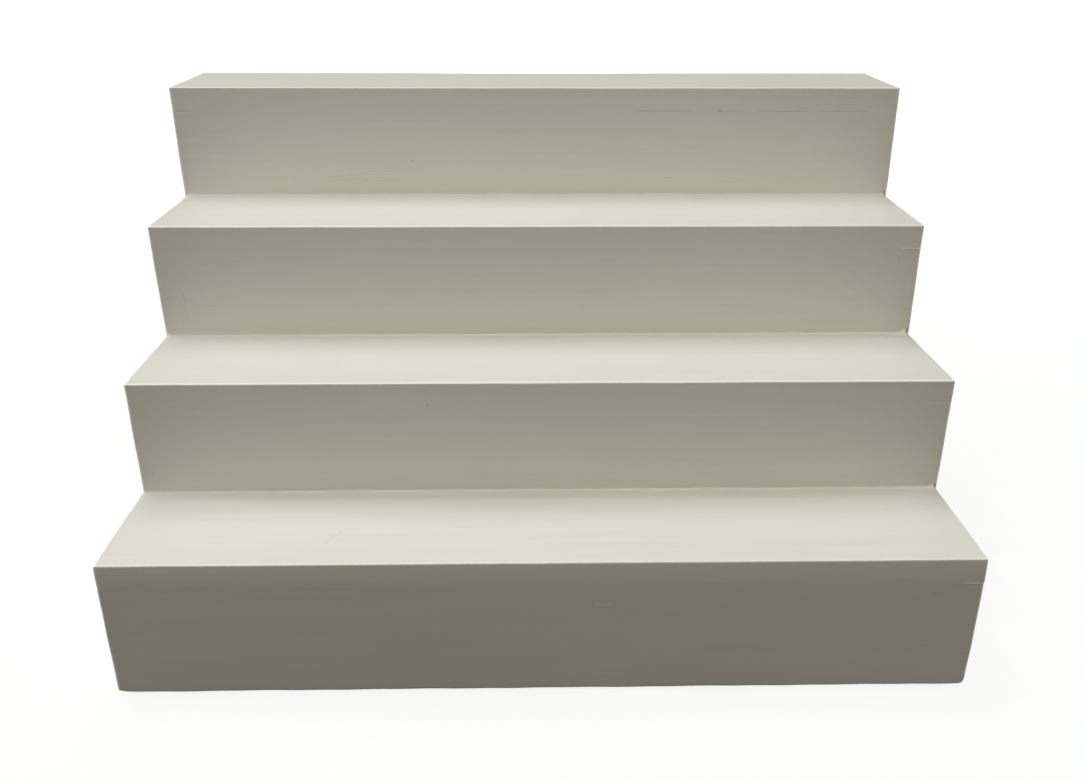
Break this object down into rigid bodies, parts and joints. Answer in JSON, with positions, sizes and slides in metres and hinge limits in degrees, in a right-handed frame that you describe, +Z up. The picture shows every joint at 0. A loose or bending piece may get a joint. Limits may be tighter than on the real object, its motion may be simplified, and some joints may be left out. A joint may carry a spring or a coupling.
{
  "type": "tiered cupcake stand",
  "caption": "Stepped display stand in brushed cream-grey painted pine: full-width treads on risers, carried by stepped side panels with an open back, for rows of cupcakes on a table.",
  "frame": {"origin": "middle of the footprint, on the table", "axes": "+X to the right as seen from the front, +Y towards the back, +Z up"},
  "size_m": [0.6, 0.401, 0.3712],
  "materials": {
    "paint": "hand-brushed cream-grey eggshell paint on pine",
    "bare_wood": "bare sawn pine",
    "screw": "zinc plated"
  },
  "bodies": {
    "root": {"tread_1": "paint", "tread_2": "paint", "tread_3": "paint", "tread_4": "paint", "riser_1": "paint", "riser_2": "paint", "riser_3": "paint", "riser_4": "paint", "side_panel_left": "paint", "side_panel_right": "paint", "back_rail_bottom": "paint", "back_rail_top": "paint", "tread_cleat_left_1": "bare_wood", "tread_cleat_left_2": "bare_wood", "tread_cleat_left_3": "bare_wood", "tread_cleat_left_4": "bare_wood", "tread_cleat_right_1": "bare_wood", "tread_cleat_right_2": "bare_wood", "tread_cleat_right_3": "bare_wood", "tread_cleat_right_4": "bare_wood", "riser_block_left_1": "bare_wood", "riser_block_left_2": "bare_wood", "riser_block_left_3": "bare_wood", "riser_block_left_4": "bare_wood", "riser_block_right_1": "bare_wood", "riser_block_right_2": "bare_wood", "riser_block_right_3": "bare_wood", "riser_block_right_4": "bare_wood", "tread_screw_left_1": "screw", "tread_screw_left_2": "screw", "tread_screw_left_3": "screw", "tread_screw_left_4": "screw", "tread_screw_right_1": "screw", "tread_screw_right_2": "screw", "tread_screw_right_3": "screw", "tread_screw_right_4": "screw", "riser_screw_left_1": "screw", "riser_screw_left_2": "screw", "riser_screw_left_3": "screw", "riser_screw_left_4": "screw", "riser_screw_right_1": "screw", "riser_screw_right_2": "screw", "riser_screw_right_3": "screw", "riser_screw_right_4": "screw", "rail_screw_bottom_left_lower": "screw", "rail_screw_bottom_left_upper": "screw", "rail_screw_bottom_right_lower": "screw", "rail_screw_bottom_right_upper": "screw", "rail_screw_top_left_lower": "screw", "rail_screw_top_left_upper": "screw", "rail_screw_top_right_lower": "screw", "rail_screw_top_right_upper": "screw"}
  },
  "joints": []
}
